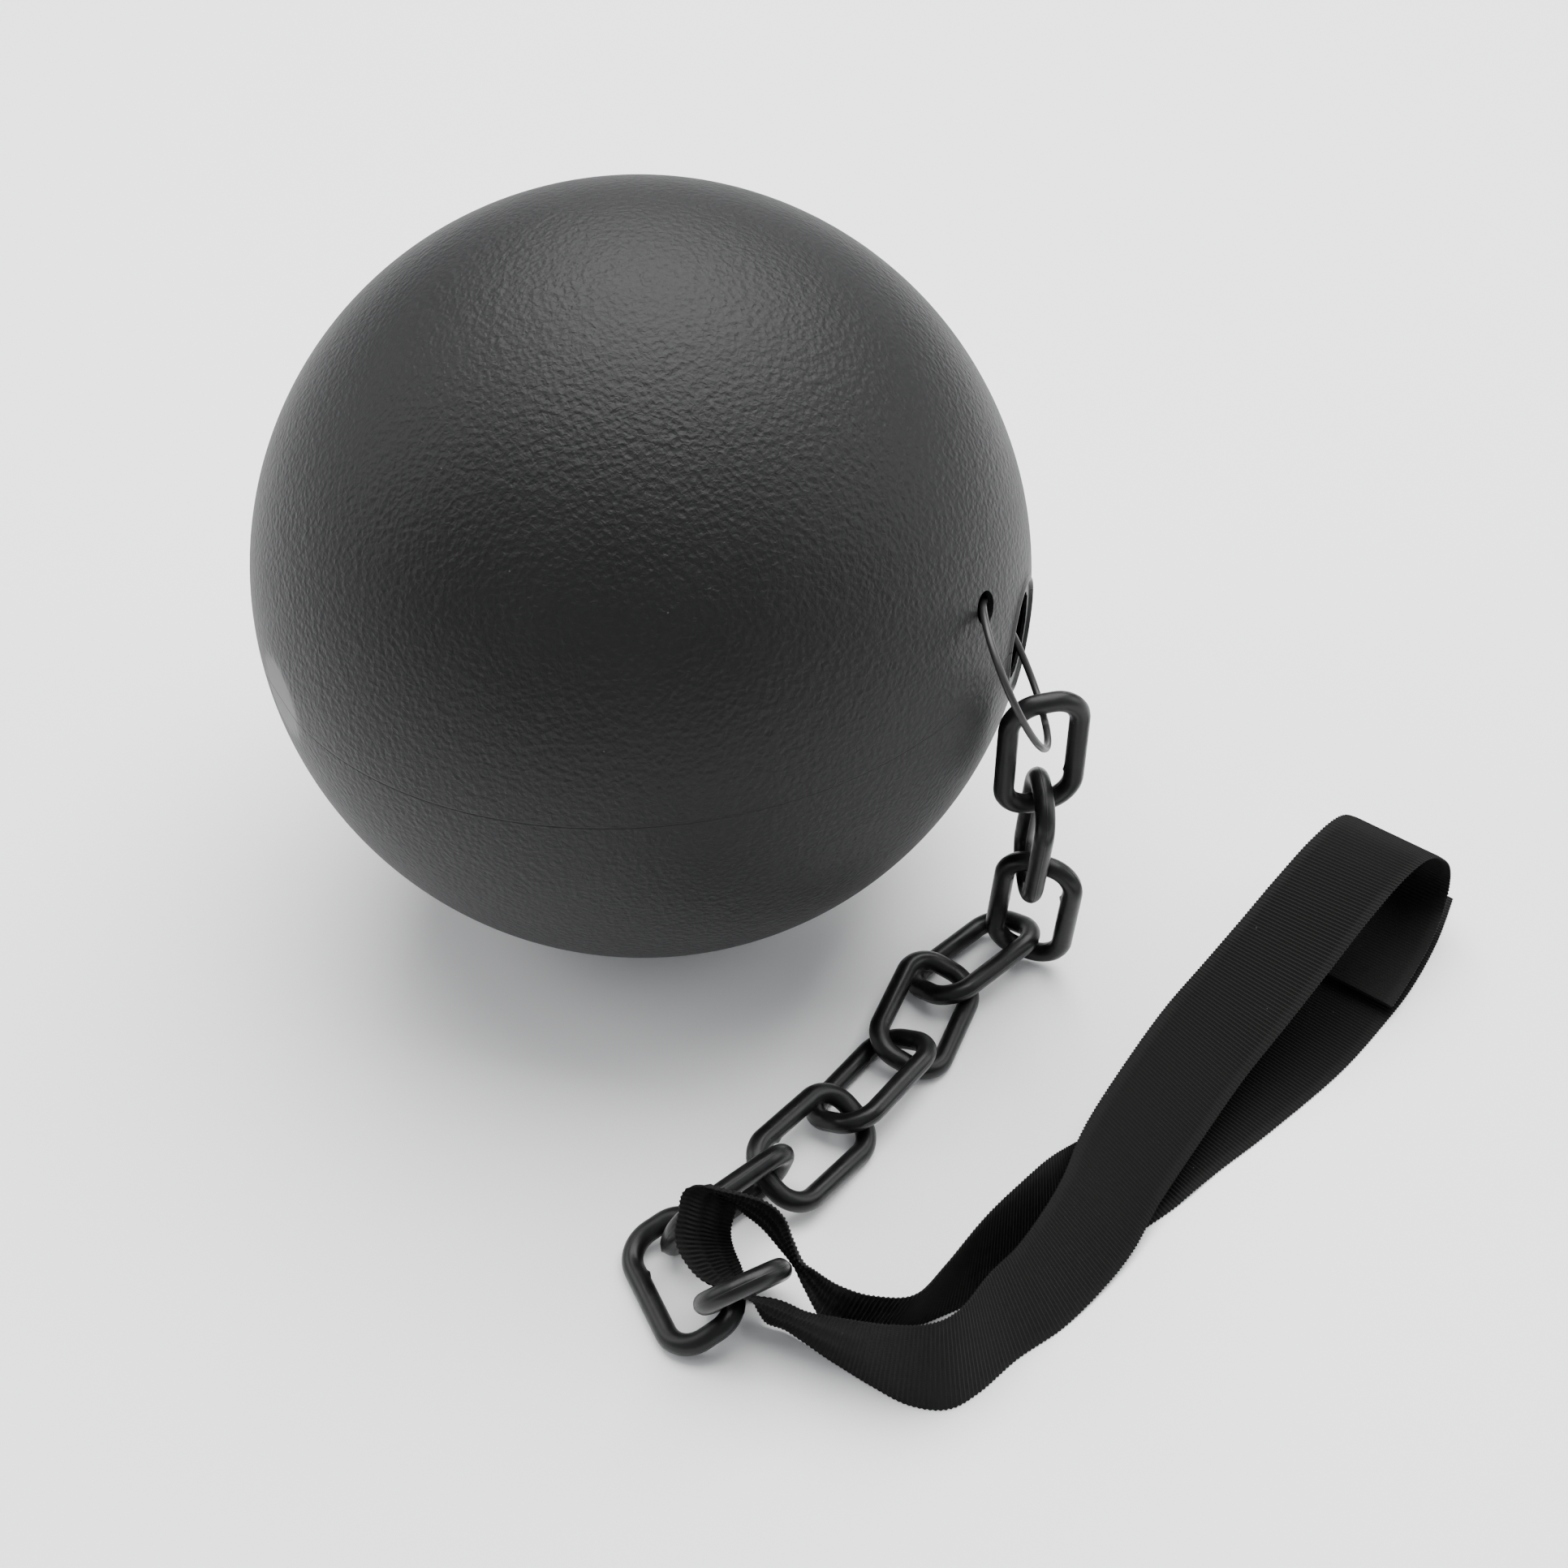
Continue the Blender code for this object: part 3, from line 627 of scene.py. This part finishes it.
# How it lies, from its loop end round to its hook end: x and y in millimetres from the middle of the last
# link, height of the lower edge, heading and rise across the ribbon, and the share of its width it keeps.
STRAP_LAY = [
    (139.4, 113.9, 0, 146, 0, 1),
    (133.9, 101.9, 0, 145, 0, 1),
    (126.9, 89.9, 0, 144, 0, 1),
    (119.9, 80.4, 0, 141, 0, 1),
    (108.4, 66.9, 0, 137, 0, 1),
    (92.9, 52.4, 0, 134, 0, 1),
    (82.4, 43.4, 0, 131, 0, 1),
    (74.4, 35.9, 0, 128, 0, 1),
    (67.9, 30.4, 0, 119, 10, 1),
    (61.9, 24.6, 0, 103, 38, 1),
    (53.0, 18.0, 0, 95, 64, 1),
    (42.8, 9.0, 0, 80, 78, 1),
    (33.6, 0.8, 0, -32, 80, 1),
    (27.2, -3.6, 0.5, -45, 71, 0.96),
    (20.2, -4.2, 1, -50, 72, 0.96),
    (15.3, -2.3, 2.6, -62, 70, 0.93),
    (11.5, 2.6, 5.4, -75, 65, 0.72),
    (9.5, 4.8, 8.3, -80, 56, 0.6),
    (7.5, 7.4, 10.8, -68, 58, 0.56),
    (5.2, 10.3, 13.3, -51, 55, 0.55),
    (1.9, 11.7, 16.3, -46, 58, 0.47),
    (-3.6, 12.5, 19.5, -113, 67, 0.35),
    (-5.8, 11.8, 19.6, -168, 38, 0.55),
    (-7.0, 9.3, 15.3, -161, 40, 0.62),
    (-7.0, 6.9, 11.3, -148, 37, 0.71),
    (-4.4, 3.3, 9.3, -136, 32, 0.6),
    (-1.0, 0.8, 8.3, -120, 40, 0.47),
    (4.3, -1.2, 1.8, -62, 66, 0.66),
    (9.2, -3.9, 0.8, -62, 64, 0.8),
    (16.4, -8.2, 0, -58, 76, 0.9),
    (22.9, -12.0, 0, -42, 84, 1),
    (28.9, -14.1, 0, 80, 83, 1),
    (34.6, -13.8, 0, 107, 76, 1),
    (39.4, -10.4, 0, 125, 74, 1),
    (45.1, -3.8, 0, 144, 69, 1),
    (52.0, 2.8, 0, 152, 60, 1),
    (58.2, 10.6, 0.5, 156, 51, 1),
    (63.8, 19.2, 1.4, 154, 43, 1),
    (69.4, 30.4, 3.2, 147, 34, 1),
    (77.9, 43.9, 5.2, 144, 26, 1),
    (87.4, 57.4, 8, 144, 20, 1),
    (96.4, 67.9, 12, 147, 12, 1),
    (104.9, 77.4, 16.2, 149, 7, 1),
    (113.9, 87.4, 20.8, 149, 3, 1),
    (121.9, 95.9, 23.6, 147, 2, 1),
    (128.4, 102.0, 23.6, 144, 2, 1),
    (133.8, 106.4, 18, 143, 1, 1),
    (136.0, 108.4, 10.5, 143, 1, 1),
    (134.8, 105.2, 4.8, 144, 0, 1),
    (130.4, 96.8, 3, 144, 0, 1),
    (124.0, 86.4, 3, 143, 0, 1),
    (120.4, 81.0, 3, 141, 0, 1),
]


def eased(rows, at):
    """Catmull-Rom through the rows of a table, at fractions of a row."""
    last = len(rows) - 1
    start = np.clip(np.floor(at).astype(int), 0, last - 1)
    share = (at - start)[:, None]
    before = rows[np.maximum(start - 1, 0)]
    one = rows[start]
    two = rows[start + 1]
    after = rows[np.minimum(start + 2, last)]
    slope = (two - before) * share
    bend = (2 * before - 5 * one + 4 * two - after) * share**2
    twist = (3 * one - 3 * two + after - before) * share**3
    return 0.5 * (2 * one + slope + bend + twist)


lay = np.array(STRAP_LAY)
headings = np.radians(lay[:, 3])
rises = np.radians(lay[:, 4])
across_ways = np.stack(
    [np.cos(rises) * np.cos(headings), np.cos(rises) * np.sin(headings), np.sin(rises)], axis=1
)
table_rows = np.hstack([lay[:, :3] * MM, across_ways, lay[:, 5:6]])
route = eased(table_rows, np.linspace(0, len(lay) - 1, 4000))
route_across = route[:, 3:6] / np.linalg.norm(route[:, 3:6], axis=1)[:, None]
route_width = route[:, 6] * RIBBON_WIDTH
route_middle = route[:, :3].copy()
route_middle[:, 0] += link_centres[-1].x
route_middle[:, 1] += link_centres[-1].y
level = np.hypot(route_across[:, 0], route_across[:, 1])
lift = np.abs(route_across[:, 2]) * route_width / 2 + level * (0.3 * MM)
route_middle[:, 2] = np.maximum(route_middle[:, 2], 0) + lift
gone = np.concatenate([[0], np.cumsum(np.linalg.norm(np.diff(route_middle, axis=0), axis=1))])
strap_length = gone[-1]

station_count = int(strap_length / RIB_PITCH) * SAMPLES_PER_RIB + 1
stations = np.linspace(0, strap_length, station_count)
station_middle = np.stack([np.interp(stations, gone, route_middle[:, n]) for n in range(3)], axis=1)
station_across = np.stack([np.interp(stations, gone, route_across[:, n]) for n in range(3)], axis=1)
station_across /= np.linalg.norm(station_across, axis=1)[:, None]
station_width = np.interp(stations, gone, route_width)
station_along = np.gradient(station_middle, axis=0)
station_normal = np.cross(station_along, station_across)
station_normal /= np.linalg.norm(station_normal, axis=1)[:, None]


def make_ribbon():
    steps = 18
    shares = np.linspace(-1, 1, steps + 1)
    rib = np.cos(2 * np.pi * np.arange(station_count) / SAMPLES_PER_RIB)
    points = []
    along_values = []
    across_values = []
    for i in range(station_count):
        half = station_width[i] / 2 + RIB_SCALLOP * rib[i]
        bunch = 1 - station_width[i] / RIBBON_WIDTH
        fold = FOLD_DEPTH * min(bunch, 0.4)
        thick = RIBBON_THICKNESS / 2 + RIB_HEIGHT / 2 * rib[i]
        top = []
        low = []
        for share in shares:
            middle = station_middle[i] + station_across[i] * share * half
            middle = middle + station_normal[i] * fold * math.cos(3 * math.pi * share)
            reach = thick * (1 - 0.45 * max(abs(share) - 0.9, 0) / 0.1)
            top.append(middle + station_normal[i] * reach)
            low.append(middle - station_normal[i] * reach)
            top[-1][2] = max(top[-1][2], FLOOR_GAP)
            low[-1][2] = max(low[-1][2], FLOOR_GAP)
        points += low + top[::-1]
        along_values += [stations[i]] * (2 * len(shares))
        across_values += list(shares) + list(shares[::-1])
    ring_size = 2 * len(shares)
    rows = [list(range(i * ring_size, (i + 1) * ring_size)) for i in range(station_count)]
    faces = []
    for one, two in zip(rows, rows[1:]):
        faces += skin_between(one, two, wrap=True)
    for row, order in ((rows[0], -1), (rows[-1], 1)):
        for k in range(steps):
            quad = (row[k], row[k + 1], row[ring_size - 2 - k], row[ring_size - 1 - k])
            faces.append(quad[::order])
    mesh = bpy.data.meshes.new("grosgrain_strap")
    mesh.from_pydata([tuple(p) for p in points], [], faces)
    for label, values in (("along", along_values), ("across", across_values)):
        mesh.attributes.new(label, "FLOAT", "POINT").data.foreach_set("value", np.array(values, np.float32))
    made = bpy.data.objects.new("grosgrain_strap", mesh)
    bpy.context.scene.collection.objects.link(made)
    return made


strap = make_ribbon()

# Shared effect: spun threads side by side, from a distance across them. Height is 0 between threads.
threads, given, made_out = new_effect(
    "Threads",
    [
        ("Across", "NodeSocketFloat", 0.0),
        ("Pitch", "NodeSocketFloat", 0.0003),
        ("Point", "NodeSocketVector", (0, 0, 0)),
    ],
    [("Height", "NodeSocketFloat"), ("Fuzz", "NodeSocketFloat")],
)
tree = threads
turns = calc(tree, "MULTIPLY", calc(tree, "DIVIDE", given["Across"], given["Pitch"]), 2 * math.pi)
wave = calc(tree, "MULTIPLY_ADD", calc(tree, "SINE", turns), 0.5, 0.5)
tree.links.new(wave, made_out["Height"])
fibres = node(
    tree, "ShaderNodeTexNoise", {"Vector": given["Point"], "Scale": 3800.0, "Detail": 2.0, "Roughness": 0.6}
).outputs["Fac"]
tree.links.new(fibres, made_out["Fuzz"])

grosgrain, tree, shader, place = new_finish("black_grosgrain")
along = node(tree, "ShaderNodeAttribute", attribute_name="along").outputs["Fac"]
across = node(tree, "ShaderNodeAttribute", attribute_name="across").outputs["Fac"]
across_m = calc(tree, "MULTIPLY", across, RIBBON_WIDTH / 2)
rib_phase = calc(tree, "MULTIPLY", along, 2 * math.pi / RIB_PITCH)
rib_top = calc(tree, "MULTIPLY_ADD", calc(tree, "COSINE", rib_phase), 0.5, 0.5)
weave = use_effect(tree, threads, {"Across": across_m, "Pitch": 0.36 * MM, "Point": place})
cloth_marks = use_effect(
    tree, handling, {"Point": place, "Specks per metre": 420.0, "Speck size": 0.05, "Rubs per metre": 60.0}
)
height = calc(tree, "MULTIPLY", weave["Height"], 0.5)
height = calc(tree, "ADD", height, calc(tree, "MULTIPLY", weave["Fuzz"], 0.6))
height = calc(tree, "ADD", height, rib_top)
bump = node(tree, "ShaderNodeBump", {"Height": height, "Strength": 0.9, "Distance": 0.05 * MM})
tree.links.new(bump.outputs["Normal"], shader.inputs["Normal"])
# Painted light: the rib tops are coloured lighter, as if lit, and the hollows between them darker, as if
# shaded. The fibres' random tone is mixed in too.
painted_rib_light_and_fibre_tone = calc(tree, "MULTIPLY", calc(tree, "ADD", rib_top, weave["Fuzz"]), 0.55)
colour = node(
    tree,
    "ShaderNodeMix",
    {"Factor": painted_rib_light_and_fibre_tone, "A": (0.0018, 0.0017, 0.0016, 1), "B": (0.0085, 0.0081, 0.0078, 1)},
    data_type="RGBA",
)
dusty = node(
    tree,
    "ShaderNodeMix",
    {
        "Factor": calc(tree, "MULTIPLY", cloth_marks["Dust"], 0.3),
        "A": colour.outputs["Result"],
        "B": (0.25, 0.24, 0.22, 1),
    },
    data_type="RGBA",
)
tree.links.new(dusty.outputs["Result"], shader.inputs["Base Color"])
cloth_roughness = calc(tree, "ADD", 0.62, calc(tree, "MULTIPLY", weave["Fuzz"], 0.2))
tree.links.new(cloth_roughness, shader.inputs["Roughness"])
shader.inputs["Sheen Weight"].default_value = 0.015
shader.inputs["Sheen Roughness"].default_value = 0.4
shader.inputs["Specular IOR Level"].default_value = 0.12
finish_surface(strap, 60, grosgrain)
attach(strap, "strap")
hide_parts("ankle_strap")

# The closure. A patch of hook tape and a patch of loop tape, each sewn flat on one end of the strap, so
# that they grip face to face. The line of black thread sewn just inside each edge is not drawn.
PATCH_LENGTH = 26 * MM
PATCH_MARGIN = 2 * MM
PATCH_THICKNESS = 0.7 * MM
PATCH_LIFT = 0.95 * MM


def make_patch(name, start, side, knobbly):
    """A woven tape along the strap from a distance start, on the side that its normal times side gives."""
    rows = int(PATCH_LENGTH / (0.25 * MM))
    columns = 64
    half_width = RIBBON_WIDTH / 2 - PATCH_MARGIN
    points = []
    for i in range(rows + 1):
        at = start + PATCH_LENGTH * i / rows
        middle = np.array([np.interp(at, stations, station_middle[:, n]) for n in range(3)])
        across_way = np.array([np.interp(at, stations, station_across[:, n]) for n in range(3)])
        up = side * np.array([np.interp(at, stations, station_normal[:, n]) for n in range(3)])
        low = []
        top = []
        for k in range(columns + 1):
            share = 2 * k / columns - 1
            spot = middle + across_way * half_width * share
            edge = min(min(i, rows - i) / 4, min(k, columns - k) / 3, 1)
            relief = knobbly(i, k) * edge
            low.append(spot + up * (PATCH_LIFT - PATCH_THICKNESS / 2))
            top.append(spot + up * (PATCH_LIFT + PATCH_THICKNESS / 2 * (0.35 + 0.15 * edge) + relief * MM))
        points += low + top[::-1]
    ring_size = 2 * (columns + 1)
    loops = [list(range(i * ring_size, (i + 1) * ring_size)) for i in range(rows + 1)]
    faces = []
    for one, two in zip(loops, loops[1:]):
        faces += skin_between(one, two, wrap=True)
    for row, order in ((loops[0], -1), (loops[-1], 1)):
        for k in range(columns):
            quad = (row[k], row[k + 1], row[ring_size - 2 - k], row[ring_size - 1 - k])
            faces.append(quad[::order])
    mesh = bpy.data.meshes.new(name)
    mesh.from_pydata([tuple(p) for p in points], [], faces)
    made = bpy.data.objects.new(name, mesh)
    bpy.context.scene.collection.objects.link(made)
    return made


def hooks(i, k):
    return 0.17 * ((i // 2) % 3 == 1) * ((k // 2 + (i // 6) % 2) % 3 == 1)


def loops_pile(i, k):
    return 0.16 * (0.5 + 0.5 * noise.noise(Vector((i * 0.45, k * 0.45, 0))))


loop_patch = make_patch("loop_tape_patch", PATCH_MARGIN, -1, loops_pile)
hook_patch = make_patch("hook_tape_patch", strap_length - PATCH_MARGIN - PATCH_LENGTH, 1, hooks)

for patch, name, slot_name, dark, rough in (
    (loop_patch, "black_loop_tape", "loop_tape", (0.009, 0.009, 0.0095, 1), 0.9),
    (hook_patch, "black_hook_tape", "hook_tape", (0.006, 0.006, 0.0065, 1), 0.5),
):
    tape, tree, shader, place = new_finish(name)
    weave = use_effect(tree, threads, {"Across": 0.0, "Pitch": 0.3 * MM, "Point": place})
    colour = node(
        tree,
        "ShaderNodeMix",
        {"Factor": weave["Fuzz"], "A": dark, "B": (0.022, 0.022, 0.022, 1)},
        data_type="RGBA",
    )
    tree.links.new(colour.outputs["Result"], shader.inputs["Base Color"])
    bump = node(tree, "ShaderNodeBump", {"Height": weave["Fuzz"], "Strength": 0.8, "Distance": 0.08 * MM})
    tree.links.new(bump.outputs["Normal"], shader.inputs["Normal"])
    shader.inputs["Roughness"].default_value = rough
    finish_surface(patch, 50, tape)
    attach(patch, "strap")
    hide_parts("closure_" + ("loop" if patch == loop_patch else "hook") + "_patch")
